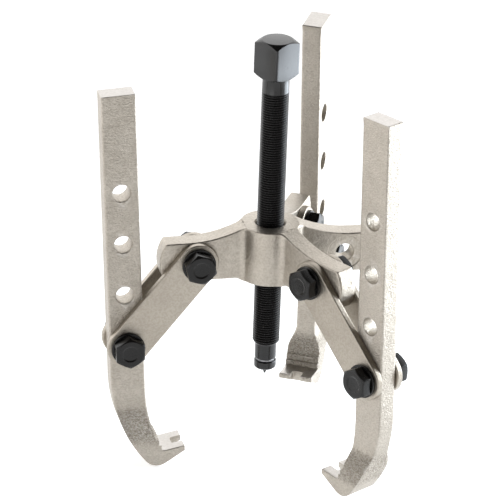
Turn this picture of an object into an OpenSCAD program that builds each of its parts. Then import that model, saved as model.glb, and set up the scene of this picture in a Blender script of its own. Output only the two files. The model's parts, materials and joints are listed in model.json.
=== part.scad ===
// Three-jaw gear puller: a four-armed yoke carries three jaws on pairs of straps,
// and a forcing screw runs through the yoke. Millimetres, +Z up along the screw,
// origin at the tip of the screw's point.

/* [Forcing screw] */
// Outside diameter of the screw's thread
screw_d = 16; // [14:0.5:18]
// Overall height of the screw, from its point to the top of its head
screw_len = 214; // [200:1:240]
// Width across the flats of the square head
head_af = 19; // [17:0.5:22]
// Height of the square head
head_h = 23.2; // [18:0.1:26]
// Length of the smooth neck under the head
neck_len = 8.6; // [5:0.1:12]
// Diameter of the smooth nose under the thread
nose_d = 12.8; // [11:0.1:13.5]

/* [Yoke] */
// Height of the yoke's top face above the screw's point
yoke_top = 99; // [80:1:130]
// Height of the hub
hub_h = 34.2; // [30:0.1:40]
// Diameter of the hub
hub_d = 35.4; // [32:0.1:40]
// Thickness of each arm
arm_t = 12; // [10:0.5:14]
// Height of each arm at its end
arm_h = 24.4; // [22:0.1:28]
// Distance from the screw's axis to the hole in each arm
arm_hole_r = 44.5; // [40:0.5:50]
// Reach of each arm's rounded end past its hole
arm_end_r = 22.3; // [20:0.1:24]

/* [Straps] */
// Distance between the two holes of a strap
strap_len = 65.6; // [60:0.1:75]
// Width of a strap
strap_w = 24.4; // [22:0.1:26]
// Thickness of a strap
strap_t = 4; // [3:0.5:5]

/* [Jaws] */
// Width of a jaw's shank, measured outwards from the screw
jaw_w = 20.4; // [18:0.1:24]
// Thickness of a jaw's shank
jaw_t = 12; // [10:0.5:14]
// Distance from the bolted hole up to the top of the jaw
jaw_up = 159.4; // [140:0.1:180]
// Distance between a jaw's holes
hole_pitch = 32.7; // [30:0.1:36]
// Width of the claw across its two prongs
claw_w = 20.8; // [18:0.1:24]
// Depth of the claw's lowest point below the bolted hole
claw_drop = 80.3; // [78:0.1:84]
// Reach of the claw's tip inwards from the shank's middle
claw_reach = 32.3; // [30:0.1:36]

/* [Fasteners] */
// Diameter of every bolt hole
hole_d = 10.8; // [10.4:0.1:11.2]
// Width across the flats of the bolt heads and nuts
hex_af = 17; // [16:0.5:18]
// Height of a bolt head
bolt_head_h = 6.4; // [5:0.1:8]
// Height of a nut
nut_h = 8; // [6:0.1:10]
// Thickness of a washer
washer_t = 2; // [1.5:0.1:2.5]

/* [Pose] */
// Angles of the straps below level: left, front, rear
strap_angles = [51.3, 42.9, 39.4];
// Outward lean of the jaws' tops: left, front, rear
jaw_leans = [3, -1.6, -4.5];

/* [Hidden] */
$fn = 64;

NICKEL = [0.70, 0.68, 0.63];
BLACK = [0.16, 0.15, 0.15];
STEEL = [0.45, 0.45, 0.46];

LEFT = 0;
FRONT = 1;
REAR = 2;
STATION_TURN = [180, -60, 60]; // direction of each jaw's arm, seen from above
HEAD_SIDE = [1, -1, -1]; // side of the arm on which the bolt heads sit
ARM_HEX_TURN = [-16, 30, 30]; // turn of each arm bolt's hexagon
JAW_HEX_TURN = [33, 30, 30]; // turn of each jaw bolt's hexagon
ARM_TURNS = [0, 180, -60, 60]; // the arm at 0 is the spare one

eps = 0.01; // overlap that keeps a cut open
play = 0.05; // radial play of every running fit
side_gap = 0.1; // gap between a strap and the arm or jaw beside it

// Heights on the screw
head_turn = 31.3; // turn of the square head
head_flat_d = 18; // round flat on top of the head
head_chamfer_slope = 30;
neck_bottom = screw_len - head_h - neck_len;
neck_d = screw_d - 0.3;
thread_bottom = 24;
nose_shoulder = 20.3;
nose_bottom = 10.9;
stem_d = 7; // stem of the swivel tip, and the bore that takes it
stem_top = 19.5;
tip_collar_d = 13.1;
tip_collar_top = 9.4;
tip_collar_bottom = 4.4;
tip_chamfer = 0.8;
point_d = 2.4;
point_flat_d = 0.8;
point_cone_h = 2;
ring_od = 11.2;
ring_gap = 0.1;

// Yoke
arm_drop = 8.1; // fall from the hub's top to the top of an arm's end
arm_top = yoke_top - arm_drop;
arm_bottom = arm_top - arm_h;
arm_axis_z = arm_top - arm_h / 2;
root_drop = 0.2; // step from the hub's top down to the arms
sweep_r = 75; // radius of the arm's hollow upper edge
sweep_end = 50; // where that edge runs out level
fillet_r = 4.5; // hollow corner between hub and arm
fillet_sink = 0.06; // bites into both, so that their faces cross cleanly
bore_chamfer = 1.2;
spot_face_d = 21.6;
spot_face_depth = 0.5;

// Jaw, in its own frame: x outwards, z up the shank, origin at the bolted hole
outer_bend_r = 89; // radius of the back of the claw
outer_bend_z = -22; // where that curve starts
inner_bend_r = 110; // radius of the inside edge
inner_bend_z = -30;
heel_r = 9; // rounding of the lowest corner
hole_chamfer = 0.45;
flare_top = -46; // the shank starts to widen here
flare_bottom = -61; // and has the claw's width from here down
seat_z = -70.6; // root of the claw's seat
tip_top_z = -68.8; // top of the claw's tip, a little higher than its root
tip_thick = 3.3;
seat_root_x = -20.2;
step_h = 3.6; // the two small steps above the seat
step_x = 1.5;
seat_lip = 0.6; // height of the slope that ends the lower step
notch_w = 5.6;
notch_depth = 6;

// Fasteners, along a bolt from the middle of the arm or jaw
grip = arm_t / 2 + side_gap + strap_t; // outside face of a strap
shoulder_d = hole_d - 2 * play;
thread_d = 10;
thread_out = 1.5; // thread past the nut
hex_flat = 0.94; // round flat on a hexagon, as a share of its width
washer_od = 20;
washer_id = 11.2;

// Points on an arc round c from angle a to angle b, in n steps
function arc(c, r, a, b, n) = [for (i = [0:n]) c + r * [cos(a + (b - a) * i / n), sin(a + (b - a) * i / n)]];

// Moves children to a station: x runs out along its arm, y across it
module at_station(s) rotate([0, 0, STATION_TURN[s]]) children();

// Moves children to an arm's bolt, and on down the strap to the jaw's bolt
module at_arm_bolt(s) at_station(s) translate([arm_hole_r, 0, arm_axis_z]) children();
module at_jaw_bolt(s) at_arm_bolt(s) rotate([0, strap_angles[s], 0])
    translate([strap_len, 0, 0]) rotate([0, -strap_angles[s], 0]) children();

// Lays a shape that is drawn in x and y across the arm, so that its y becomes z
module across(thick) rotate([90, 0, 0]) linear_extrude(thick, center = true) children();

// Turns children so that +Z runs along the bolts, from nut to head
module along_bolt(s) rotate([-90 * HEAD_SIDE[s], 0, 0]) children();

// A cylinder across the arm, for holes
module cross_hole(d, length) rotate([90, 0, 0]) cylinder(d = d, h = length, center = true);

// Edge of an arm seen from its side; it meets the hub a little below the hub's top
module arm_outline() {
    root_z = yoke_top - root_drop;
    lift = arm_top + sweep_r;
    sweep_start = sweep_end - sqrt(sweep_r ^ 2 - (lift - root_z) ^ 2);
    sweep_a = atan2(root_z - lift, sweep_start - sweep_end);
    end_a = asin((arm_top - arm_axis_z) / arm_end_r);
    end_b = asin((arm_bottom - arm_axis_z) / arm_end_r);
    polygon(concat(
        [[0, arm_bottom]],
        arc([arm_hole_r, arm_axis_z], arm_end_r, end_b, end_a, 16),
        arc([sweep_end, lift], sweep_r, -90, sweep_a, 12),
        [[0, root_z]]
    ));
}

// Hollow corner that joins one side of an arm to the hub, seen from above
module corner_plan() {
    half = arm_t / 2 + fillet_r;
    reach = sqrt((hub_d / 2 + fillet_r) ^ 2 - half ^ 2);
    difference() {
        polygon([[0, 0], [reach, 0], [reach, half]]);
        translate([reach - fillet_sink, half - fillet_sink]) circle(fillet_r);
    }
}

// One arm with its hollow corners
module arm() intersection() {
    translate([0, 0, yoke_top - hub_h]) linear_extrude(hub_h) {
        translate([0, -arm_t / 2]) square([arm_hole_r + arm_end_r + 1, arm_t]);
        corner_plan();
        mirror([0, 1]) corner_plan();
    }
    across(hub_d) arm_outline();
}

module yoke() {
    color(NICKEL) difference() {
        union() {
            translate([0, 0, yoke_top - hub_h]) cylinder(d = hub_d, h = hub_h, $fn = 96);
            for (a = ARM_TURNS) rotate([0, 0, a]) arm();
        }
        translate([0, 0, yoke_top - hub_h - eps]) cylinder(d = screw_d + 2 * play, h = hub_h + 2 * eps);
        for (z = [yoke_top, yoke_top - hub_h]) translate([0, 0, z])
            rotate([z == yoke_top ? 180 : 0, 0, 0]) translate([0, 0, -eps])
                cylinder(r1 = screw_d / 2 + play + bore_chamfer, r2 = screw_d / 2 + play, h = bore_chamfer);
        for (a = ARM_TURNS) rotate([0, 0, a]) translate([arm_hole_r, 0, arm_axis_z]) {
            cross_hole(hole_d, arm_t + 2);
            for (side = [-1, 1]) translate([0, side * arm_t / 2, 0])
                cross_hole(spot_face_d, 2 * spot_face_depth);
        }
    }
}

// Round blank that gives the square head its chamfers
module head_blank() {
    corner_r = head_af / sqrt(2);
    fall = (corner_r - head_flat_d / 2) * tan(head_chamfer_slope);
    rotate_extrude() polygon([
        [0, screw_len - head_h], [head_flat_d / 2, screw_len - head_h],
        [corner_r, screw_len - head_h + fall], [corner_r, screw_len - fall],
        [head_flat_d / 2, screw_len], [0, screw_len]
    ]);
}

module forcing_screw() {
    color(BLACK) {
        intersection() {
            rotate([0, 0, head_turn]) translate([-head_af / 2, -head_af / 2, screw_len - head_h])
                cube([head_af, head_af, head_h]);
            head_blank();
        }
        difference() {
            rotate_extrude() polygon([
                [0, nose_bottom], [nose_d / 2, nose_bottom], [nose_d / 2, nose_shoulder],
                [screw_d / 2, thread_bottom], [screw_d / 2, neck_bottom], [neck_d / 2, neck_bottom],
                [neck_d / 2, screw_len - head_h + eps], [0, screw_len - head_h + eps]
            ]);
            translate([0, 0, nose_bottom - eps])
                cylinder(d = stem_d, h = stem_top - nose_bottom + 0.5);
        }
    }
}

module swivel_tip() {
    color(BLACK) rotate_extrude() polygon([
        [0, 0], [point_flat_d / 2, 0], [point_d / 2, point_cone_h], [point_d / 2, tip_collar_bottom],
        [tip_collar_d / 2 - tip_chamfer, tip_collar_bottom],
        [tip_collar_d / 2, tip_collar_bottom + tip_chamfer],
        [tip_collar_d / 2, tip_collar_top], [stem_d / 2 - play, tip_collar_top],
        [stem_d / 2 - play, stem_top], [0, stem_top]
    ]);
}

module tip_retaining_ring() {
    color(STEEL) translate([0, 0, tip_collar_top + ring_gap]) difference() {
        cylinder(d = ring_od, h = nose_bottom - tip_collar_top - 2 * ring_gap);
        translate([0, 0, -1]) cylinder(d = stem_d + 2 * play, h = 5);
    }
}

// Edge of a jaw seen from its side. The heel's arc touches the back's arc from
// inside, and the straight underside runs from the heel to the tip.
module jaw_outline() {
    outer_x = jaw_w / 2;
    outer_c = [outer_x - outer_bend_r, outer_bend_z];
    inner_c = [-outer_x - inner_bend_r, inner_bend_z];
    inner_a = -asin((-seat_z - 2 * step_h + inner_bend_z) / inner_bend_r);
    step_top = inner_c + inner_bend_r * [cos(inner_a), sin(inner_a)];
    tip_under = [-claw_reach, tip_top_z - tip_thick];
    heel_z = heel_r - claw_drop;
    heel_c = [outer_c[0] + sqrt((outer_bend_r - heel_r) ^ 2 - (heel_z - outer_bend_z) ^ 2), heel_z];
    back_a = atan2(heel_c[1] - outer_c[1], heel_c[0] - outer_c[0]);
    to_tip = tip_under - heel_c;
    under_a = atan2(to_tip[1], to_tip[0]) + acos(heel_r / norm(to_tip));
    polygon(concat(
        [[-outer_x, jaw_up], [-outer_x, inner_bend_z]],
        arc(inner_c, inner_bend_r, 0, inner_a, 8),
        [
            step_top + [-step_x, 0], step_top + [-step_x, -step_h],
            step_top + [-2 * step_x, -step_h], [step_top[0] - 2 * step_x, seat_z + seat_lip],
            [seat_root_x, seat_z], [-claw_reach, tip_top_z], tip_under
        ],
        arc(heel_c, heel_r, under_a, back_a, 10),
        arc(outer_c, outer_bend_r, back_a, 0, 14),
        [[outer_x, jaw_up]]
    ));
}

// Edge of a jaw seen from the screw, widening to the claw in two arcs
module jaw_front_outline() {
    half = jaw_t / 2;
    wide = claw_w / 2;
    mid = (flare_top + flare_bottom) / 2;
    side = concat(
        [[half, jaw_up + 1]],
        [for (i = [0:12]) [half + (wide - half) * (1 - cos(180 * i / 12)) / 2,
            flare_top + (flare_bottom - flare_top) * i / 12]],
        [[wide, -claw_drop - 1]]
    );
    polygon(concat(side, [for (i = [len(side) - 1:-1:0]) [-side[i][0], side[i][1]]]));
}

module jaw(s) {
    color(NICKEL) at_jaw_bolt(s) rotate([0, jaw_leans[s], 0]) difference() {
        intersection() {
            across(claw_w + 2) jaw_outline();
            rotate([90, 0, 90]) linear_extrude(3 * claw_reach, center = true) jaw_front_outline();
        }
        for (i = [0:3]) translate([0, 0, i * hole_pitch]) {
            cross_hole(hole_d, jaw_t + 2);
            for (side = [-1, 1]) rotate([side * 90, 0, 0]) translate([0, 0, jaw_t / 2 - hole_chamfer])
                cylinder(d1 = hole_d, d2 = hole_d + 2 * hole_chamfer + 2 * eps, h = hole_chamfer + eps);
        }
        translate([-claw_reach - 1, -notch_w / 2, -claw_drop - 1])
            cube([notch_depth + 1, notch_w, claw_drop + tip_top_z + 5]);
    }
}

// One strap; side is 1 on the bolt heads' side and -1 on the nuts' side
module strap(s, side) {
    color(NICKEL) at_arm_bolt(s) rotate([0, strap_angles[s], 0])
        translate([0, HEAD_SIDE[s] * side * (grip - strap_t / 2), 0]) across(strap_t) difference() {
            union() {
                translate([0, -strap_w / 2]) square([strap_len, strap_w]);
                for (x = [0, strap_len]) translate([x, 0]) circle(d = strap_w);
            }
            for (x = [0, strap_len]) translate([x, 0]) circle(d = hole_d);
        }
}

// Hexagon with rounded-off corners; both ends are chamfered on a nut
module hexagon(h, both_ends) {
    corner_r = hex_af / sqrt(3);
    flat_r = hex_af * hex_flat / 2;
    fall = (corner_r - flat_r) * tan(30);
    intersection() {
        cylinder(r = corner_r, h = h, $fn = 6);
        rotate_extrude() polygon([
            [0, 0], [both_ends ? flat_r : corner_r, 0], [corner_r, both_ends ? fall : eps],
            [corner_r, h - fall], [flat_r, h], [0, h]
        ]);
    }
}

// Shoulder bolt: plain shank through straps and arm or jaw, thread in the nut
module bolt(s, turn) {
    color(BLACK) along_bolt(s) {
        translate([0, 0, grip + washer_t]) rotate([0, 0, turn]) hexagon(bolt_head_h, false);
        translate([0, 0, -grip]) cylinder(d = shoulder_d, h = 2 * grip + washer_t + eps);
        translate([0, 0, -grip - nut_h - thread_out])
            cylinder(d = thread_d - 2 * eps, h = nut_h + thread_out + eps);
    }
}

module washer(s) {
    color(BLACK) along_bolt(s) translate([0, 0, grip]) difference() {
        cylinder(d = washer_od, h = washer_t);
        translate([0, 0, -1]) cylinder(d = washer_id, h = washer_t + 2);
    }
}

module nut(s, turn) {
    color(BLACK) along_bolt(s) translate([0, 0, -grip - nut_h]) difference() {
        rotate([0, 0, turn]) hexagon(nut_h, true);
        translate([0, 0, -1]) cylinder(d = thread_d, h = nut_h + 2);
    }
}

yoke();
forcing_screw();
swivel_tip();
tip_retaining_ring();
jaw(LEFT);  // jaw_left
jaw(FRONT);  // jaw_front
jaw(REAR);  // jaw_rear
strap(LEFT, 1);  // strap_left_head_side
strap(LEFT, -1);  // strap_left_nut_side
strap(FRONT, 1);  // strap_front_head_side
strap(FRONT, -1);  // strap_front_nut_side
strap(REAR, 1);  // strap_rear_head_side
strap(REAR, -1);  // strap_rear_nut_side
at_arm_bolt(LEFT) bolt(LEFT, ARM_HEX_TURN[LEFT]);  // arm_bolt_left
at_arm_bolt(FRONT) bolt(FRONT, ARM_HEX_TURN[FRONT]);  // arm_bolt_front
at_arm_bolt(REAR) bolt(REAR, ARM_HEX_TURN[REAR]);  // arm_bolt_rear
at_jaw_bolt(LEFT) bolt(LEFT, JAW_HEX_TURN[LEFT]);  // jaw_bolt_left
at_jaw_bolt(FRONT) bolt(FRONT, JAW_HEX_TURN[FRONT]);  // jaw_bolt_front
at_jaw_bolt(REAR) bolt(REAR, JAW_HEX_TURN[REAR]);  // jaw_bolt_rear
at_arm_bolt(LEFT) washer(LEFT);  // arm_washer_left
at_arm_bolt(FRONT) washer(FRONT);  // arm_washer_front
at_arm_bolt(REAR) washer(REAR);  // arm_washer_rear
at_jaw_bolt(LEFT) washer(LEFT);  // jaw_washer_left
at_jaw_bolt(FRONT) washer(FRONT);  // jaw_washer_front
at_jaw_bolt(REAR) washer(REAR);  // jaw_washer_rear
at_arm_bolt(LEFT) nut(LEFT, ARM_HEX_TURN[LEFT]);  // arm_nut_left
at_arm_bolt(FRONT) nut(FRONT, ARM_HEX_TURN[FRONT]);  // arm_nut_front
at_arm_bolt(REAR) nut(REAR, ARM_HEX_TURN[REAR]);  // arm_nut_rear
at_jaw_bolt(LEFT) nut(LEFT, JAW_HEX_TURN[LEFT]);  // jaw_nut_left
at_jaw_bolt(FRONT) nut(FRONT, JAW_HEX_TURN[FRONT]);  // jaw_nut_front
at_jaw_bolt(REAR) nut(REAR, JAW_HEX_TURN[REAR]);  // jaw_nut_rear
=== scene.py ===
"""Looks of a three-jaw gear puller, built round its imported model.

Every piece is a surface worked out as whole arrays: a profile turned about an axis, a rim
carried round an outline, or a field of heights. Sizes are in millimetres, in the piece's own
frame, and become metres where a mesh is written.
"""

import json
import logging
import math
from dataclasses import dataclass, field
from enum import Enum
from typing import Callable

import bmesh
import bpy
import numpy as np
from mathutils import Matrix, Vector


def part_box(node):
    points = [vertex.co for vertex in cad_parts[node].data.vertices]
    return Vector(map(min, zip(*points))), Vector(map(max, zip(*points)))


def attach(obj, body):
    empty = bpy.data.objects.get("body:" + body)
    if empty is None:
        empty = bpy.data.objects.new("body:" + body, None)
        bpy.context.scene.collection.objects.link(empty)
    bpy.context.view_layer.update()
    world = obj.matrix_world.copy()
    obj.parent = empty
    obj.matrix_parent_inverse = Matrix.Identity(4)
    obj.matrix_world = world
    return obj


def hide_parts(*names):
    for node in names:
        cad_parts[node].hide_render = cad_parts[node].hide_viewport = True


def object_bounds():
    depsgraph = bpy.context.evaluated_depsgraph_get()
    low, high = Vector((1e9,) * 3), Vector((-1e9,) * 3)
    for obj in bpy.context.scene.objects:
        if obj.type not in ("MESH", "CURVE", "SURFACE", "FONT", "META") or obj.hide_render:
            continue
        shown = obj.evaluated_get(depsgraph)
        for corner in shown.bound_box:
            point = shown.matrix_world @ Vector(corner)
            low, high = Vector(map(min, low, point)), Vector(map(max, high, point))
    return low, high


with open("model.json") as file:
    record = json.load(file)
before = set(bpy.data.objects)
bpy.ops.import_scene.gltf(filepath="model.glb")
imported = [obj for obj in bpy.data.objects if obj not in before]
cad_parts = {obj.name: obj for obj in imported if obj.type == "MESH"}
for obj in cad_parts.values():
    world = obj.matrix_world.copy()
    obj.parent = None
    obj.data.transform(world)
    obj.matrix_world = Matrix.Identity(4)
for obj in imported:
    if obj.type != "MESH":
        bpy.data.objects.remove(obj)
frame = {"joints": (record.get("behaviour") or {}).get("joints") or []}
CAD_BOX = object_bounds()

LOG = logging.getLogger("gear_puller")
MM = 0.001
Array = np.ndarray
Profile = Callable[[Array], Array]
Socket = bpy.types.NodeSocket
Colour = tuple[float, float, float]
SHARP_ANGLE = math.radians(33)
MERGE_DISTANCE = 2e-6


# ---------------------------------------------------------------- outlines and profiles


def arc(centre: tuple[float, float], radius: float, start: float, end: float, steps: int) -> Array:
    """Points on a circle, from one angle to another.

    Args:
        centre: middle of the circle.
        radius: its radius.
        start: first angle, in degrees.
        end: last angle, in degrees.
        steps: number of steps between them.

    Returns:
        Array of steps + 1 points.
    """
    angle = np.radians(np.linspace(start, end, steps + 1))
    return np.array(centre) + radius * np.stack([np.cos(angle), np.sin(angle)], axis=1)


def line(start: Array, end: Array, steps: int) -> Array:
    """Points along a straight line: steps + 1 of them, both ends among them."""
    share = np.linspace(0, 1, steps + 1)[:, None]
    return np.asarray(start) * (1 - share) + np.asarray(end) * share


def rounded(corners: Array, radius: float, steps: int = 4) -> Array:
    """Closed outline whose corners are rounded.

    Each corner becomes an arc that touches both of its sides: the arc's centre lies on the
    corner's bisector, radius / cos(half the turn) away from the corner.

    Args:
        corners: corner points in order.
        radius: radius of every corner.
        steps: number of steps in each arc.

    Returns:
        Array of len(corners) * (steps + 1) points.
    """
    before = corners - np.roll(corners, 1, axis=0)
    after = np.roll(corners, -1, axis=0) - corners
    before /= np.linalg.norm(before, axis=1, keepdims=True)
    after /= np.linalg.norm(after, axis=1, keepdims=True)
    turn = np.arctan2(
        before[:, 0] * after[:, 1] - before[:, 1] * after[:, 0], (before * after).sum(axis=1)
    )
    side = np.sign(turn)[:, None]
    left = np.stack([-before[:, 1], before[:, 0]], axis=1) * side
    centre = corners - before * (radius * np.tan(abs(turn) / 2))[:, None] + left * radius
    angle = np.arctan2(-left[:, 1], -left[:, 0])[:, None] + turn[:, None] * np.linspace(0, 1, steps + 1)
    points = centre[:, None, :] + radius * np.stack([np.cos(angle), np.sin(angle)], axis=2)
    return points.reshape(-1, 2)


def eased(chain: Array, radius: float, steps: int = 4) -> Array:
    """An open chain of points whose inner corners are rounded; its two ends stay."""
    arcs = rounded(chain, radius, steps).reshape(len(chain), steps + 1, 2)
    return np.concatenate([chain[:1], arcs[1:-1].reshape(-1, 2), chain[-1:]])


def outward(loop: Array) -> Array:
    """Offset of each outline point that moves its two sides outwards by one millimetre.

    The offset is the sum of the two sides' normals over one plus their dot product.

    Args:
        loop: closed outline, anticlockwise.

    Returns:
        Array of offsets, one for each point.
    """
    ahead = np.roll(loop, -1, axis=0) - loop
    ahead /= np.linalg.norm(ahead, axis=1, keepdims=True)
    normal = np.stack([ahead[:, 1], -ahead[:, 0]], axis=1)
    last = np.roll(normal, 1, axis=0)
    return (normal + last) / (1 + (normal * last).sum(axis=1, keepdims=True))


def soften(profile: Array, size: float) -> Array:
    """Takes the edge off every inner point of a profile.

    Each inner point becomes three: one a little way back, one a little way on, and one
    between them that is pulled in, as on a rounded edge.

    Args:
        profile: array whose first axis runs along the profile.
        size: distance of the new points from the edge.

    Returns:
        The longer profile, with the same other axes.
    """
    longest, pull = 0.45, 0.58  # shares of a side's length, and of the way back to the edge
    inner = profile[1:-1]
    back = profile[:-2] - inner
    ahead = profile[2:] - inner
    back_length = np.maximum(np.linalg.norm(back, axis=-1, keepdims=True), 1e-9)
    ahead_length = np.maximum(np.linalg.norm(ahead, axis=-1, keepdims=True), 1e-9)
    first = inner + back / back_length * np.minimum(size, back_length * longest)
    third = inner + ahead / ahead_length * np.minimum(size, ahead_length * longest)
    second = (first + third) / 2 * (1 - pull) + inner * pull
    middle = np.stack([first, second, third], axis=1).reshape((-1,) + profile.shape[1:])
    return np.concatenate([profile[:1], middle, profile[-1:]])


def smooth_step(value: Array) -> Array:
    """Rises smoothly from 0 at value 0 to 1 at value 1."""
    clipped = np.clip(value, 0, 1)
    return clipped * clipped * (3 - 2 * clipped)


# ---------------------------------------------------------------- meshes


@dataclass
class Skin:
    """A mesh gathered from whole grids of points, in millimetres."""

    points: list[Array] = field(default_factory=list)
    quads: list[Array] = field(default_factory=list)
    count: int = 0

    def grid(self, points: Array, close_rows: bool = False, close_columns: bool = False) -> "Skin":
        """Adds a grid of points, joined to its neighbours by four-sided faces.

        Args:
            points: array of rows by columns by three.
            close_rows: whether the last row joins the first.
            close_columns: whether the last column joins the first.

        Returns:
            The skin itself, so that calls can be chained.
        """
        rows, columns = points.shape[:2]
        index = self.count + np.arange(rows * columns).reshape(rows, columns)
        if close_rows:
            index = np.concatenate([index, index[:1]])
        if close_columns:
            index = np.concatenate([index, index[:, :1]], axis=1)
        faces = np.stack([index[:-1, :-1], index[:-1, 1:], index[1:, 1:], index[1:, :-1]], axis=-1)
        self.points.append(points.reshape(-1, 3))
        self.quads.append(faces.reshape(-1, 4))
        self.count += rows * columns
        return self

    def mesh(self, name: str, place: Matrix) -> bpy.types.Mesh:
        """Writes the grids to a closed mesh, with its seams merged and its faces outwards.

        Args:
            name: name of the mesh.
            place: where the piece's frame lies in the model, in metres.

        Returns:
            The new mesh.
        """
        made = bpy.data.meshes.new(name)
        made.from_pydata(np.concatenate(self.points) * MM, [], np.concatenate(self.quads))
        made.transform(place)
        work = bmesh.new()
        work.from_mesh(made)
        bmesh.ops.remove_doubles(work, verts=work.verts, dist=MERGE_DISTANCE)
        bmesh.ops.recalc_face_normals(work, faces=work.faces)
        work.to_mesh(made)
        work.free()
        return made

    def piece(self, name: str, place: Matrix) -> bpy.types.Object:
        """Makes the piece's object, which stays at the origin with its place in its mesh.

        Args:
            name: name of the object and its mesh.
            place: where the piece's frame lies in the model, in metres.

        Returns:
            The new object.
        """
        made = bpy.data.objects.new(name, self.mesh(name, place))
        bpy.context.scene.collection.objects.link(made)
        return made


def wrapped(profiles: Array, angle: Array) -> Array:
    """Grid of one profile for each angle round Z.

    Args:
        profiles: array of rows by columns by two, each a radius and a height.
        angle: the columns' angles, in radians.

    Returns:
        Grid of rows by columns by three.
    """
    radius, height = profiles[..., 0], profiles[..., 1]
    return np.stack([radius * np.cos(angle), radius * np.sin(angle), height], axis=-1)


def even(angle: Array, profile: Array | list[tuple[float, float]]) -> Array:
    """The same profile of radii and heights at every angle."""
    return np.repeat(np.array(profile, float)[:, None, :], len(angle), axis=1)


def level(radius: Array, height: Array | float) -> Array:
    """One row of a profile: a radius and a height for each angle."""
    return np.stack(np.broadcast_arrays(radius, height), axis=-1)


def turned(profile: Array, columns: int = 64) -> Array:
    """Grid of a profile of radii and heights turned about Z, in so many columns."""
    angle = np.linspace(0, 2 * math.pi, columns, endpoint=False)
    return wrapped(even(angle, profile), angle)


def polygon(corners: Array, radius: float, arc_steps: int, side_steps: int) -> tuple[Array, Array]:
    """Outline of a rounded polygon round the axis, with steps along its sides as well.

    Args:
        corners: the polygon's corners, anticlockwise.
        radius: radius of the rounded corners.
        arc_steps: number of steps round each corner.
        side_steps: number of steps along each side.

    Returns:
        The outline's distances from the axis, and its angles, which rise throughout. The
        first point is repeated at the end.
    """
    arcs = rounded(corners, radius, arc_steps).reshape(len(corners), arc_steps + 1, 2)
    onward = np.roll(arcs[:, 0], -1, axis=0)[:, None]
    share = np.linspace(0, 1, side_steps + 1)[1:-1][None, :, None]
    sides = arcs[:, -1][:, None] * (1 - share) + onward * share
    points = np.concatenate([arcs, sides], axis=1).reshape(-1, 2)
    closed = np.concatenate([points, points[:1]])
    return np.linalg.norm(closed, axis=1), np.unwrap(np.arctan2(closed[:, 1], closed[:, 0]))


def threaded(
    angle: Array, radius: float, pitch: float, low: float, high: float, foot: float, runout: float = 1.0
) -> Array:
    """Profiles of a right-hand thread, one for each angle round the screw.

    Each row climbs one pitch in a turn and is held between the two end heights, so rows past
    an end gather there and merge. The radius is the outside one less the depth of a
    sixty degree thread, which is a wave of crest, flank and root along the axis. The thread
    starts on a chamfer from the foot radius, and its grooves fade out at the top.

    Args:
        angle: the columns' angles, which rise through one full turn.
        radius: outside radius.
        pitch: distance between turns.
        low: height of the bottom end.
        high: height of the top end.
        foot: radius at the bottom end.
        runout: number of turns over which the grooves fade out at the top.

    Returns:
        Array of rows by columns by two, each a radius and a height.
    """
    steps = 8  # rows in each turn
    turns = math.ceil((high - low) / pitch) + 1
    row = np.arange(-steps, turns * steps + 1)[:, None]
    lead = (angle - angle[0]) / (2 * math.pi)
    height = np.clip(low + pitch * (row / steps + lead[None, :]), low, high)
    depth = 0.6 * pitch
    wave = np.interp((row % steps) / steps, [0, 0.12, 0.44, 0.62, 0.92, 1], [0, 0, 1, 1, 0, 0])
    fade = smooth_step((high - height) / (runout * pitch))
    cone = foot + (height - low)
    return np.stack([np.minimum(radius - depth * wave * fade, cone), height], axis=-1)

def rim(loop: Array, inset: Array, half: Profile, steps: int = 4) -> tuple[Array, Array]:
    """Edge of a flat bar, rounded on both sides, carried round the bar's outline.

    A quarter circle turns the wall into each flat side: at angle t it lies inset * (1 - cos t)
    inside the outline, and inset * (1 - sin t) below the flat side.

    Two rows hold the wall's middle flat, a little way in from the rounding.

    Args:
        loop: closed outline, anticlockwise.
        inset: radius of the rounding at each point of the outline.
        half: gives half the bar's thickness at points of the outline's plane.
        steps: number of steps in each quarter circle.

    Returns:
        Grid of the rim, with the across-bar distance in its middle coordinate, and the
        outline where the flat side begins.
    """
    angle = np.radians(np.linspace(90, 0, steps + 1))[:, None, None]
    normal = outward(loop)
    flat = loop - normal * (inset[:, None] * (1 - np.cos(angle)))
    fall = inset[None, :] * (1 - np.sin(angle[..., 0]))
    rise = half(flat) - fall
    hold = rise[-1] * 0.82 * np.array([[1], [-1]])
    across = np.concatenate([rise, hold, -rise[::-1]])
    plane = np.concatenate([flat, np.repeat(loop[None], 2, axis=0), flat[::-1]])
    return np.stack([plane[..., 0], across, plane[..., 1]], axis=-1), flat[0]


def flat_bar(left: Array, right: Array, inset: Profile, half: Profile) -> Skin:
    """A bar with two flat sides, given by its two long edges.

    Each flat side is ruled between matching points of the two edges, and its first and last
    rulings are the inset ends of the bar, so that it meets the rim point for point.

    Args:
        left: points along one edge.
        right: matching points along the other edge, so that left and then right reversed
            runs anticlockwise.
        inset: gives the radius of the rounding at points of the outline.
        half: gives half the bar's thickness at points of the outline's plane.

    Returns:
        The closed skin, in x and z with its thickness along y.
    """
    share = np.array([0.04, 0.2, 0.5, 0.8, 0.96])[:, None]  # across the bar, closer at its edges
    far = left[-1] * (1 - share) + right[-1] * share
    near = left[0] * (1 - share) + right[0] * share
    loop = np.concatenate([left, far, right[::-1], near[::-1]])
    edge, flat = rim(loop, inset(loop), half)
    skin = Skin().grid(edge, close_columns=True)
    first, far, second, near = np.split(flat, np.cumsum([len(left), len(far), len(right)]))
    second, near = second[::-1], near[::-1]
    plane = first[None] * (1 - share[..., None]) + second[None] * share[..., None]
    plane[:, 0], plane[:, -1] = near, far
    plane = np.concatenate([first[None], plane, second[None]])
    height = half(plane)
    for side in (1, -1):
        skin.grid(np.stack([plane[..., 0], side * height, plane[..., 1]], axis=-1))
    return skin


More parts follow.
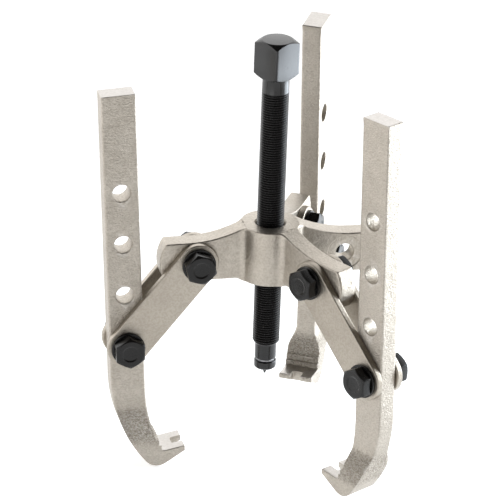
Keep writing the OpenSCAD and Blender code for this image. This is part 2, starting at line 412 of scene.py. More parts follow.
def carve(piece: bpy.types.Object, cutters: list[bpy.types.Mesh]) -> None:
    """Cuts the cutters' shapes out of a piece and leaves a plain mesh.

    Args:
        piece: the piece that is cut.
        cutters: closed meshes, in the model's frame.
    """
    tools = []
    for number, mesh in enumerate(cutters):
        tool = bpy.data.objects.new(f"cutter_{number}", mesh)
        bpy.context.scene.collection.objects.link(tool)
        cut = piece.modifiers.new(f"cut_{number}", "BOOLEAN")
        cut.operation = "DIFFERENCE"
        cut.solver = "MANIFOLD"
        cut.object = tool
        tools.append(tool)
    bpy.context.view_layer.update()
    done = bpy.data.meshes.new_from_object(piece.evaluated_get(bpy.context.evaluated_depsgraph_get()))
    piece.modifiers.clear()
    old = piece.data
    piece.data = done
    done.name = piece.name
    bpy.data.meshes.remove(old)
    for tool in tools:
        bpy.data.meshes.remove(tool.data)


def shade(piece: bpy.types.Object) -> None:
    """Shades a piece smoothly, but keeps the edges that turn sharply."""
    piece.data.shade_smooth()
    piece.data.set_sharp_from_angle(angle=SHARP_ANGLE)


# ---------------------------------------------------------------- finishes


@dataclass
class Graph:
    """A node tree with short ways to add and join nodes."""

    tree: bpy.types.NodeTree

    def add(self, kind: str, inputs: dict | None = None, **settings: object) -> bpy.types.Node:
        """Adds a node.

        Args:
            kind: the node's type.
            inputs: value, or socket to link from, for each input's name or number.
            settings: the node's own properties.

        Returns:
            The new node.
        """
        node = self.tree.nodes.new(kind)
        for name, value in settings.items():
            setattr(node, name, value)
        for name, value in (inputs or {}).items():
            if isinstance(value, Socket):
                self.tree.links.new(value, node.inputs[name])
            else:
                node.inputs[name].default_value = value
        return node

    def noise(self, vector: Socket, size: float, detail: float, roughness: float = 0.55) -> Socket:
        """Fractal noise whose largest features are about size millimetres across."""
        scale = 1 / (size * MM)
        inputs = {"Vector": vector, "Scale": scale, "Detail": detail, "Roughness": roughness}
        return self.add("ShaderNodeTexNoise", inputs).outputs["Fac"]

    def math(self, operation: str, *values: object) -> Socket:
        """A Math node's result."""
        return self.add("ShaderNodeMath", dict(enumerate(values)), operation=operation).outputs[0]

    def band(
        self, value: object, low: float, high: float, to_low: float = 0.0, to_high: float = 1.0
    ) -> Socket:
        """A value mapped smoothly from low..high to another range, and held past its ends."""
        inputs = {"Value": value, "From Min": low, "From Max": high, "To Min": to_low, "To Max": to_high}
        return self.add("ShaderNodeMapRange", inputs, interpolation_type="SMOOTHSTEP").outputs["Result"]

    def blend(self, share: object, first: object, second: object) -> Socket:
        """A colour mixed from two, the sockets of a Mix node's colours being 6 and 7."""
        inputs = {0: share, 6: first, 7: second}
        return self.add("ShaderNodeMix", inputs, data_type="RGBA").outputs[2]


class Effects:
    """Shader node groups that several finishes share, each built once."""

    def __init__(self) -> None:
        """Builds the groups."""
        self.grain = self.build_grain()
        self.stain = self.build_stain()
        self.wear = self.build_wear()

    @staticmethod
    def group(name: str, amounts: tuple[str, ...], outputs: tuple[str, ...]) -> tuple[Graph, dict, dict]:
        """Starts a group that takes a vector and some amounts, each 1 unless it is set.

        Args:
            name: the group's name.
            amounts: names of the amounts.
            outputs: names of the outputs, which are all values.

        Returns:
            The group's graph, the sockets that it is given, and the sockets that it fills.
        """
        tree = bpy.data.node_groups.new(name, "ShaderNodeTree")
        tree.interface.new_socket("Vector", in_out="INPUT", socket_type="NodeSocketVector")
        for title in amounts:
            socket = tree.interface.new_socket(title, in_out="INPUT", socket_type="NodeSocketFloat")
            socket.default_value = 1
        for title in outputs:
            tree.interface.new_socket(title, in_out="OUTPUT", socket_type="NodeSocketFloat")
        graph = Graph(tree)
        given, result = graph.add("NodeGroupInput").outputs, graph.add("NodeGroupOutput").inputs
        return graph, dict(given.items()), dict(result.items())

    def build_grain(self) -> bpy.types.NodeTree:
        """Pebbled surface of a shot-blasted forging under its plating.

        Returns:
            A group whose Height is fine pebbling plus broader dents, and whose Pits marks the
            lowest spots, which the finishes darken as painted shade.
        """
        graph, given, result = self.group("forging_grain", ("Fine", "Broad"), ("Height", "Pits"))
        fine = graph.noise(given["Vector"], 1.3, 3.0, 0.6)
        broad = graph.noise(given["Vector"], 4.5, 2.0)
        dents = graph.math("MULTIPLY", broad, given["Broad"])
        height = graph.math("MULTIPLY_ADD", fine, given["Fine"], dents)
        graph.tree.links.new(height, result["Height"])
        graph.tree.links.new(graph.band(fine, 0.62, 0.36), result["Pits"])
        return graph.tree

    def build_stain(self) -> bpy.types.NodeTree:
        """Cloudy handling marks.

        Returns:
            A group whose Cloud varies over centimetres, and whose Fleck over a millimetre or so.
        """
        graph, given, result = self.group("handling_stain", (), ("Cloud", "Fleck"))
        cloud = graph.noise(given["Vector"], 16, 4.0, 0.6)
        fleck = graph.noise(given["Vector"], 1.6, 5.0, 0.7)
        graph.tree.links.new(graph.band(cloud, 0.35, 0.65), result["Cloud"])
        graph.tree.links.new(graph.band(fleck, 0.58, 0.72), result["Fleck"])
        return graph.tree

    def build_wear(self) -> bpy.types.NodeTree:
        """Rubbed edges.

        Returns:
            A group whose Mask marks the outward corners of a piece, broken up by noise.
        """
        graph, given, result = self.group("rubbed_edge", ("Amount",), ("Mask",))
        corner = graph.add("ShaderNodeNewGeometry").outputs["Pointiness"]
        broken = graph.noise(given["Vector"], 3.0, 4.0, 0.65)
        edge = graph.math("MULTIPLY", graph.band(corner, 0.535, 0.60), graph.band(broken, 0.35, 0.6))
        graph.tree.links.new(graph.math("MULTIPLY", edge, given["Amount"]), result["Mask"])
        return graph.tree


@dataclass(frozen=True)
class MetalFinish:
    """One metal surface, built from the shared effects.

    Its colours are the plating's own; a darker one, which is painted shade in the low spots of
    the pebbling and also the colour of its cloudy handling stains; and that of its rubbed edges.
    The wrinkled band round a claw's bend runs between the heights of wrinkle_span, and there the
    pits get their full painted shade.
    """

    name: str
    slot: str
    base: Colour
    shade_and_stain: Colour
    worn: Colour
    roughness: float
    metallic: float
    fine_grain: float
    broad_grain: float
    bump: float
    wear: float
    brush: tuple[float, float, float] = (1.0, 1.0, 1.0)
    specular: float = 0.5
    wrinkle: float = 0.0
    wrinkle_span: tuple[float, float, float, float] = (-40.0, -32.0, -20.0, -10.0)
    wrinkle_bump: float = 3.5
    smooth_pits: float = 0.42
    cloudiness: float = 0.25
    dulling: float = 0.10

    def material(self, effects: Effects) -> bpy.types.Material:
        """Builds the material.

        Args:
            effects: the shared node groups.

        Returns:
            The new material.
        """
        made = bpy.data.materials.new(self.name)
        made.use_nodes = True
        made.node_tree.nodes.clear()
        graph = Graph(made.node_tree)
        place = graph.add("ShaderNodeTexCoord").outputs["Object"]
        drawn = graph.add("ShaderNodeMapping", {"Vector": place, "Scale": self.brush}).outputs["Vector"]
        amounts = {"Vector": drawn, "Fine": self.fine_grain, "Broad": self.broad_grain}
        grain = graph.add("ShaderNodeGroup", amounts, node_tree=effects.grain).outputs
        stain = graph.add("ShaderNodeGroup", {"Vector": place}, node_tree=effects.stain).outputs
        rubbed = {"Vector": place, "Amount": self.wear}
        wear = graph.add("ShaderNodeGroup", rubbed, node_tree=effects.wear).outputs["Mask"]
        rough = self.wrinkled(graph, place)
        # painted shade: the pebbling's low spots blend towards the darker colour, fully in the wrinkled
        # band, and the cloudy handling stains blend towards the same colour
        shade_and_stain = (*self.shade_and_stain, 1)
        cloud = graph.math("MULTIPLY", stain["Cloud"], self.cloudiness)
        pits = graph.math("MULTIPLY", grain["Pits"], graph.band(rough, 0.0, 1.0, self.smooth_pits, 1.0))
        plated = graph.blend(pits, graph.blend(cloud, (*self.base, 1), shade_and_stain), shade_and_stain)
        high = self.bump * MM
        bump = graph.add("ShaderNodeBump", {
            "Height": grain["Height"],
            "Strength": 1.0,
            "Distance": graph.band(rough, 0.0, 1.0, high, self.wrinkle_bump * high),
        })
        shader = graph.add("ShaderNodeBsdfPrincipled", {
            "Base Color": graph.blend(wear, plated, (*self.worn, 1)),
            "Metallic": self.metallic,
            "Roughness": graph.math("MULTIPLY_ADD", stain["Fleck"], self.dulling, self.roughness),
            "Normal": bump.outputs["Normal"],
            "Specular IOR Level": self.specular,
        })
        graph.add("ShaderNodeOutputMaterial", {"Surface": shader.outputs["BSDF"]})
        return made

    def wrinkled(self, graph: Graph, place: Socket) -> Socket:
        """Mask of the band round the bend of the claws, where forging has wrinkled the skin.
        The material gives the band deeper bumps and fuller painted shade in its pits.

        Args:
            graph: the material's graph.
            place: the point's place in the model.

        Returns:
            A value from 0 to 1.
        """
        height = graph.add("ShaderNodeSeparateXYZ", {0: place}).outputs["Z"]
        low, full, level_end, high = (value * MM for value in self.wrinkle_span)
        inside = graph.math("MULTIPLY", graph.band(height, low, full), graph.band(height, high, level_end))
        return graph.math("MULTIPLY", inside, self.wrinkle)


# darker colours: painted shade in the pits of the pebbling, and the colour of cloudy handling stains
NICKEL_SHADE_AND_STAIN = (0.30, 0.265, 0.22)
BLACK_SHADE_AND_STAIN = (0.004, 0.004, 0.004)


class Finish(Enum):
    """The finishes of this puller."""

    FORGED_NICKEL = MetalFinish(
        "forged_nickel", "nickel_plate", (0.52, 0.478, 0.42), NICKEL_SHADE_AND_STAIN, (0.68, 0.65, 0.61),
        roughness=0.40, metallic=1.0, fine_grain=1.0, broad_grain=0.7, bump=0.50, wear=0.5,
        brush=(1.0, 1.0, 1.7), wrinkle=1.0,
    )
    YOKE_NICKEL = MetalFinish(
        "yoke_nickel", "nickel_plate", (0.50, 0.458, 0.40), NICKEL_SHADE_AND_STAIN, (0.66, 0.63, 0.59),
        roughness=0.38, metallic=1.0, fine_grain=0.8, broad_grain=0.6, bump=0.34, wear=0.5,
    )
    ROLLED_NICKEL = MetalFinish(
        "rolled_nickel", "nickel_plate", (0.45, 0.408, 0.35), NICKEL_SHADE_AND_STAIN, (0.64, 0.61, 0.57),
        roughness=0.38, metallic=1.0, fine_grain=0.7, broad_grain=0.5, bump=0.28, wear=0.6,
    )
    SAWN_NICKEL = MetalFinish(
        "sawn_nickel", "nickel_plate", (0.50, 0.475, 0.45), (0.36, 0.34, 0.31), (0.66, 0.64, 0.62),
        roughness=0.30, metallic=1.0, fine_grain=0.5, broad_grain=0.2, bump=0.12, wear=0.4,
    )
    BLACK_OXIDE = MetalFinish(
        "black_oxide", "black_oxide", (0.006, 0.006, 0.0065), BLACK_SHADE_AND_STAIN, (0.04, 0.04, 0.045),
        roughness=0.22, metallic=0.0, fine_grain=0.25, broad_grain=0.2, bump=0.04, wear=0.3, specular=0.5,
    )
    CUT_THREAD = MetalFinish(
        "cut_thread", "black_oxide", (0.006, 0.005, 0.005), BLACK_SHADE_AND_STAIN, (0.03, 0.03, 0.03),
        roughness=0.26, metallic=0.0, fine_grain=0.2, broad_grain=0.2, bump=0.03, wear=0.2, specular=0.36,
    )
    BLACK_BOLT = MetalFinish(
        "black_bolt", "black_oxide", (0.006, 0.0055, 0.005), (0.004, 0.0035, 0.003), (0.05, 0.05, 0.055),
        roughness=0.25, metallic=0.0, fine_grain=0.5, broad_grain=0.4, bump=0.08, wear=0.4, specular=0.34,
    )
    SPRING_STEEL = MetalFinish(
        "spring_steel", "spring_steel", (0.30, 0.30, 0.31), (0.22, 0.22, 0.23), (0.5, 0.5, 0.5),
        roughness=0.35, metallic=1.0, fine_grain=0.3, broad_grain=0.2, bump=0.03, wear=0.3,
    )


class Paintbox:
    """Makes each finish's material once and puts it on pieces."""

    def __init__(self) -> None:
        """Builds every material."""
        effects = Effects()
        self.materials = {finish: finish.value.material(effects) for finish in Finish}

    def dress(self, piece: bpy.types.Object, finish: Finish) -> None:
        """Gives a piece its material."""
        piece.data.materials.clear()
        piece.data.materials.append(self.materials[finish])


# ---------------------------------------------------------------- the puller


@dataclass(frozen=True)
class Fit:
    """Sizes that several pieces share."""

    hole: float = 10.8
    arm_thick: float = 12.0
    strap_thick: float = 4.0
    side_gap: float = 0.1
    washer_thick: float = 2.0

    @property
    def grip(self) -> float:
        """Distance from the middle of an arm to the outside face of a strap."""
        return self.arm_thick / 2 + self.side_gap + self.strap_thick


@dataclass(frozen=True)
class Station:
    """One jaw's place round the yoke."""

    name: str
    lean: float
    head_side: int
    arm_hex_turn: float
    jaw_hex_turn: float

    def pivot(self, joint: str) -> Vector:
        """Where one of this station's joints lies at rest, in metres."""
        found = next(j for j in frame["joints"] if j["name"] == f"{joint}_{self.name}")
        return Vector(found["pos_m"])

    def outwards(self) -> Matrix:
        """Turn that takes x outwards along this station's arm."""
        arm = self.pivot("strap_swing")
        return Matrix.Rotation(math.atan2(arm.y, arm.x), 4, "Z")

    def arm_bolt(self) -> Matrix:
        """Frame at the bolt in the arm."""
        return Matrix.Translation(self.pivot("strap_swing")) @ self.outwards()

    def jaw_bolt(self) -> Matrix:
        """Frame at the bolt in the jaw."""
        return Matrix.Translation(self.pivot("jaw_tilt")) @ self.outwards()

    def strap(self) -> Matrix:
        """Frame at the arm's bolt, with x along the strap."""
        span = self.pivot("jaw_tilt") - self.pivot("strap_swing")
        fall = math.atan2(-span.z, math.hypot(span.x, span.y))
        return self.arm_bolt() @ Matrix.Rotation(fall, 4, "Y")

    def jaw(self) -> Matrix:
        """Frame at the jaw's bolt, with z up the shank."""
        return self.jaw_bolt() @ Matrix.Rotation(math.radians(self.lean), 4, "Y")

    def along_bolt(self, at: Matrix) -> Matrix:
        """Frame with z along a bolt, from its nut to its head."""
        return at @ Matrix.Rotation(math.radians(-90 * self.head_side), 4, "X")

    def strap_length(self) -> float:
        """Distance between the strap's two bolts, in millimetres."""
        return (self.pivot("jaw_tilt") - self.pivot("strap_swing")).length / MM


@dataclass
class Workshop:
    """What every sub-assembly needs in order to add its pieces."""

    paint: Paintbox
    fit: Fit = field(default_factory=Fit)

    def add(self, piece: bpy.types.Object, node: str, body: str, finish: Finish) -> None:
        """Finishes a piece, puts it on its body in place of its node, and reports it.

        Args:
            piece: the piece.
            node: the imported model's node that it stands for.
            body: the body that it rides on.
            finish: its finish.
        """
        shade(piece)
        self.paint.dress(piece, finish)
        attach(piece, body)
        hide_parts(node)
        LOG.info("%s: %d faces, %s, on %s", piece.name, len(piece.data.polygons), finish.value.name, body)


def hole_cutter(radius: float, depth: float, ease: float, past: float = 3.0) -> Skin:
    """A cutter for a cross hole with rounded rims, along z and centred.

    Its radius is the hole's, and grows over the last stretch by ease * (1 - cos t) while
    the depth grows by ease * sin t, so that the rim that it leaves is a quarter round.

    Args:
        radius: radius of the hole.
        depth: half the thickness of what it goes through.
        ease: radius of the rim's rounding.
        past: how far the cutter runs on outside.

    Returns:
        The closed cutter.
    """
    t = np.radians(np.linspace(0, 90, 5))
    flare = np.stack([radius + ease * (1 - np.cos(t)), depth - ease + ease * np.sin(t)], axis=1)
    end = np.array([[radius + ease, depth + past], [0, depth + past]])
    upper = np.concatenate([flare, end])
    return Skin().grid(turned(np.concatenate([upper[::-1] * [1, -1], upper]), 48), close_columns=True)


def prism(loop: Array, low: float, high: float) -> Skin:
    """A closed prism over an outline in x and y, whose two ends fan out from their middles.

    Args:
        loop: the outline.
        low: height of the bottom.
        high: height of the top.

    Returns:
        The closed skin.
    """
    middle = np.broadcast_to(loop.mean(axis=0), loop.shape)
    plane = np.stack([middle, loop, loop, middle])
    height = np.broadcast_to(np.array([low, low, high, high])[:, None, None], plane.shape[:2] + (1,))
    return Skin().grid(np.concatenate([plane, height], axis=2), close_columns=True)


@dataclass
class Jaw:
    """A forged jaw: a flat shank with four holes, bent at the foot to a forked claw."""

    station: Station
    shop: Workshop
    width: float = 20.4
    top: float = 159.4
    pitch: float = 32.7
    holes: int = 4
    claw_width: float = 20.8
    reach: float = 32.3
    drop: float = 80.3
    outer_bend: float = 89.0
    outer_start: float = -22.0
    inner_bend: float = 110.0
    inner_start: float = -30.0
    heel: float = 9.0
    flare_top: float = -46.0
    flare_bottom: float = -61.0
    seat_root: tuple[float, float] = (-20.2, -70.6)
    tip_top: float = -68.8
    tip_thick: float = 3.3
    step_high: float = 3.6
    step_wide: float = 1.5
    seat_lip: float = 0.6
    notch_wide: float = 7.0
    notch_deep: float = 6.8
    corner: float = 0.7
    edge_steps: int = 48
    bend_steps: int = 26
    heel_steps: int = 13
    seat_steps: int = 6

    def half_thickness(self, plane: Array) -> Array:
        """Half the jaw's thickness: it swells in a cosine from the shank to the claw."""
        share = np.clip((self.flare_top - plane[..., 1]) / (self.flare_top - self.flare_bottom), 0, 1)
        shank = self.shop.fit.arm_thick / 2
        return shank + (self.claw_width / 2 - shank) * (1 - np.cos(math.pi * share)) / 2

    def inner_edge(self) -> Array:
        """Edge that faces the screw.

        Returns:
            Points from the top, down the shank, over two small steps and along the seat, to
            the middle of the tip's end.
        """
        side = -self.width / 2
        bend_angle = -math.degrees(
            math.asin((-self.seat_root[1] - 2 * self.step_high + self.inner_start) / self.inner_bend)
        )
        centre = (side - self.inner_bend, self.inner_start)
        bend = arc(centre, self.inner_bend, 0, bend_angle, self.bend_steps)
        step = bend[-1]
        chain = np.array([
            step,
            step + [-self.step_wide, 0],
            step + [-self.step_wide, -self.step_high],
            step + [-2 * self.step_wide, -self.step_high],
            [step[0] - 2 * self.step_wide, self.seat_root[1] + self.seat_lip],
            self.seat_root,
        ])
        return np.concatenate([
            arc((side + self.corner, self.top - self.corner), self.corner, 90, 180, 4),
            line((side, self.top - self.corner), (side, self.inner_start), self.edge_steps)[1:],
            bend[1:],
            eased(chain, 0.35, 2)[1:],
            self.tip_end(np.array([self.seat_root, [-self.reach, self.tip_top]]), 1),
        ])

    def outer_edge(self) -> Array:
        """Edge that faces outwards.

        The heel's arc touches the back's arc from inside, and a straight line from there
        touches it and runs to the tip's lower corner.

        Returns:
            Points from the top, down the shank and round the heel, to the middle of the tip's end.
        """
        side = self.width / 2
        centre = np.array([side - self.outer_bend, self.outer_start])
        heel_z = self.heel - self.drop
        gap = self.outer_bend - self.heel
        heel = np.array([centre[0] + math.sqrt(gap**2 - (heel_z - centre[1]) ** 2), heel_z])
        back = math.degrees(math.atan2(heel[1] - centre[1], heel[0] - centre[0]))
        under = np.array([-self.reach, self.tip_top - self.tip_thick])
        to_tip = under - heel
        lean = math.acos(self.heel / float(np.linalg.norm(to_tip)))
        foot = math.degrees(math.atan2(to_tip[1], to_tip[0]) + lean)
        foot -= 360 if foot > back else 0
        heel_arc = arc((heel[0], heel[1]), self.heel, back, foot, self.heel_steps)
        return np.concatenate([
            arc((side - self.corner, self.top - self.corner), self.corner, 90, 0, 4),
            line((side, self.top - self.corner), (side, self.outer_start), self.edge_steps)[1:],
            arc((centre[0], centre[1]), self.outer_bend, 0, back, self.bend_steps)[1:],
            heel_arc[1:],
            self.tip_end(np.array([heel_arc[-1], under]), -1),
        ])

    def tip_end(self, edge: Array, side: int) -> Array:
        """Last stretch of an edge: along to the tip's corner, round it and half way down the end.

        Args:
            edge: where the stretch starts, and the tip's corner.
            side: 1 for the seat's edge, -1 for the underside's.

        Returns:
            The points after the first.
        """
        middle = np.array([-self.reach, self.tip_top - self.tip_thick / 2 + 0.15 * side])
        run = eased(np.array([edge[0], edge[1], middle]), 0.6, 4)
        along = line(run[0], run[1], self.seat_steps)[1:]
        return np.concatenate([along, run[2:]])

    def rounding(self, loop: Array) -> Array:
        """Radius of the jaw's long edges: soft on the shank, crisp at the sawn top and the seat."""
        return np.interp(loop[:, 1], [-80, -64, -48, 156, 159], [0.45, 0.45, 1.1, 1.1, 0.3])

    def build(self) -> None:
        """Builds the jaw and adds it to the model."""
        inner, outer = self.inner_edge(), self.outer_edge()
        name = f"jaw_{self.station.name}"
        place = self.station.jaw()
        piece = flat_bar(inner, outer, self.rounding, self.half_thickness).piece(f"{name}_forging", place)
        across = Matrix.Rotation(math.radians(90), 4, "X")
        hole = hole_cutter(self.shop.fit.hole / 2, self.shop.fit.arm_thick / 2, 0.6)
        cutters = [
            hole.mesh("hole", place @ Matrix.Translation((0, 0, number * self.pitch * MM)) @ across)
            for number in range(self.holes)
        ]
        half = self.notch_wide / 2
        root = -self.reach + self.notch_deep
        slot = np.array([[root, half], [-self.reach - 6, half], [-self.reach - 6, -half], [root, -half]])
        cutters.append(prism(rounded(slot, 0.9), -self.drop - 5, self.tip_top + 5).mesh("notch", place))
        carve(piece, cutters)
        self.shop.add(piece, name, name, Finish.FORGED_NICKEL)
        piece.data.materials.append(self.shop.paint.materials[Finish.SAWN_NICKEL])
        self.show_saw_cuts(piece, place)

    def show_saw_cuts(self, piece: bpy.types.Object, place: Matrix) -> None:
        """Gives the second finish to the sawn faces: the shank's top end and the claw's seat.

        Args:
            piece: the jaw.
            place: the jaw's frame.
        """
        back, up = place.inverted(), np.array(place.to_3x3().col[2])
        local = np.array([back @ face.center for face in piece.data.polygons]) / MM
        facing_up = np.array([face.normal for face in piece.data.polygons]) @ up > 0.8
        x, z = local[:, 0], local[:, 2]
        seat = (x < self.seat_root[0] + 3) & (z > self.tip_top - 3) & (z < self.flare_bottom + 1)
        sawn = facing_up & (seat | (z > self.top - 1))
        piece.data.polygons.foreach_set("material_index", sawn.astype(np.int32))


@dataclass
class Links:
    """A pair of straps that hangs a jaw on the yoke, with its bolts, washers and nuts."""

    station: Station
    shop: Workshop
    strap_wide: float = 24.4
    strap_edge: float = 0.7
    washer_wide: float = 20.0
    washer_hole: float = 11.2
    across_flats: float = 17.0
    head_high: float = 6.4
    nut_high: float = 8.0
    flat_share: float = 0.94
    shoulder: float = 10.7
    thread: float = 10.0
    thread_pitch: float = 1.5
    thread_out: float = 1.5
    dish_wide: float = 10.4
    dish_deep: float = 0.45
    softness: float = 0.28

    @property
    def body(self) -> str:
        """Name of the body that these pieces ride on."""
        return f"links_{self.station.name}"

    def hexagon(self, turn: float) -> tuple[Array, Array]:
        """Outline of a bolt head or nut, closed on itself.

        Args:
            turn: turn of the hexagon, in degrees.

        Returns:
            The outline's distances from the axis, and its angles, which rise throughout.
        """
        angle = np.radians(turn + np.arange(6) * 60.0)
        corner = self.across_flats / math.sqrt(3)
        return polygon(corner * np.stack([np.cos(angle), np.sin(angle)], axis=1), 0.9, 4, 6)

    def crown(self, reach: Array) -> Array:
        """How far a 30 degree chamfer has fallen at each distance from the axis."""
        flat = self.across_flats * self.flat_share / 2
        return (reach - flat) * math.tan(math.radians(30))

    def build_straps(self) -> None:
        """Builds both straps: round-ended flat links with softly rolled edges."""
        length, end = self.station.strap_length(), self.strap_wide / 2
        half = self.shop.fit.strap_thick / 2
        lower = np.concatenate([
            arc((0, 0), end, 183, 270, 20),
            line((0, -end), (length, -end), 30)[1:-1],
            arc((length, 0), end, 270, 357, 20),
        ])
        upper = lower * [1, -1]
        offset = self.shop.fit.grip - half
        across = Matrix.Rotation(math.radians(90), 4, "X")
        for side, word in ((1, "head"), (-1, "nut")):
            middle = Matrix.Translation((0, self.station.head_side * side * offset * MM, 0))
            place = self.station.strap() @ middle
            skin = flat_bar(
                lower, upper,
                lambda loop: np.full(len(loop), self.strap_edge),
                lambda plane: np.full(plane.shape[:-1], half),
            )
            piece = skin.piece(f"strap_{self.station.name}_{word}_side_link", place)
            hole = hole_cutter(self.shop.fit.hole / 2, half, 0.3)
            ends = [place @ Matrix.Translation((x * MM, 0, 0)) @ across for x in (0, length)]
            carve(piece, [hole.mesh("hole", at) for at in ends])
            self.shop.add(piece, f"strap_{self.station.name}_{word}_side", self.body, Finish.ROLLED_NICKEL)

    def build_bolt(self, joint: str, place: Matrix, turn: float) -> None:
        """Builds a shoulder bolt in one skin, from its threaded end to its dished head.

        Args:
            joint: arm or jaw.
            place: frame along the bolt, at the middle of its grip.
            turn: turn of its hexagon, in degrees.
        """
        reach, angle = self.hexagon(turn)
        grip = self.shop.fit.grip
        seat = grip + self.shop.fit.washer_thick
        top = seat + self.head_high
        end = -grip - self.nut_high - self.thread_out
        outer = self.thread / 2
        screw = threaded(angle, outer - 0.02, self.thread_pitch, end, end + 5.9, outer - 1.0)
        stem = even(angle, [(0, end)])
        shank = even(angle, [(outer - 0.02, -grip), (self.shoulder / 2, -grip), (self.shoulder / 2, seat)])
        dish = self.dish_wide / 2
        flat = self.across_flats * self.flat_share / 2
        head = np.stack([
            level(reach * 0.97, seat), level(reach, seat + 0.2), level(reach, top - self.crown(reach)),
        ])
        floor = top - self.dish_deep
        crown = even(angle, [(flat, top), (dish, top), (dish - 0.9, floor), (0, floor)])
        upper = soften(np.concatenate([shank[-1:], head, crown]), self.softness)
        skin = Skin().grid(wrapped(np.concatenate([stem, screw, shank, upper[1:]]), angle))
        piece = skin.piece(f"{joint}_bolt_{self.station.name}_screw", place)
        self.shop.add(piece, f"{joint}_bolt_{self.station.name}", self.body, Finish.BLACK_BOLT)

    def build_washer(self, joint: str, place: Matrix) -> None:
        """Builds a flat washer under a bolt's head.

        Args:
            joint: arm or jaw.
            place: frame along the bolt, on the outside face of the strap.
        """
        inner, outer, thick = self.washer_hole / 2, self.washer_wide / 2, self.shop.fit.washer_thick
        middle = (inner, thick / 2)
        corners = [middle, (inner, 0), (outer, 0), (outer, thick), (inner, thick), middle]
        skin = Skin().grid(turned(soften(np.array(corners), 0.3)), close_columns=True)
        piece = skin.piece(f"{joint}_washer_{self.station.name}_ring", place)
        self.shop.add(piece, f"{joint}_washer_{self.station.name}", self.body, Finish.BLACK_BOLT)

    def build_nut(self, joint: str, place: Matrix, turn: float) -> None:
        """Builds a nut, chamfered on both faces, with its bore's mouths countersunk.

        Args:
            joint: arm or jaw.
            place: frame along the bolt, at the middle of its grip.
            turn: turn of its hexagon, in degrees.
        """
        reach, angle = self.hexagon(turn)
        low = -self.shop.fit.grip - self.nut_high
        high = -self.shop.fit.grip
        bore, flat = self.thread / 2 + 0.05, self.across_flats * self.flat_share / 2
        middle = (low + high) / 2
        under = even(angle, [(bore, middle), (bore, low + 0.7), (bore + 0.7, low), (flat, low)])
        side = np.stack([level(reach, low + self.crown(reach)), level(reach, high - self.crown(reach))])
        over = even(angle, [(flat, high), (bore + 0.7, high), (bore, high - 0.7), (bore, middle)])
        skin = Skin().grid(wrapped(soften(np.concatenate([under, side, over]), self.softness), angle))
        piece = skin.piece(f"{joint}_nut_{self.station.name}_hex", place)
        self.shop.add(piece, f"{joint}_nut_{self.station.name}", self.body, Finish.BLACK_BOLT)

    def build(self) -> None:
        """Builds the straps and both sets of fasteners."""
        self.build_straps()
        station = self.station
        for joint, at, turn in (
            ("arm", station.arm_bolt(), station.arm_hex_turn),
            ("jaw", station.jaw_bolt(), station.jaw_hex_turn),
        ):
            place = station.along_bolt(at)
            self.build_bolt(joint, place, turn)
            self.build_washer(joint, place @ Matrix.Translation((0, 0, self.shop.fit.grip * MM)))
            self.build_nut(joint, place, turn)


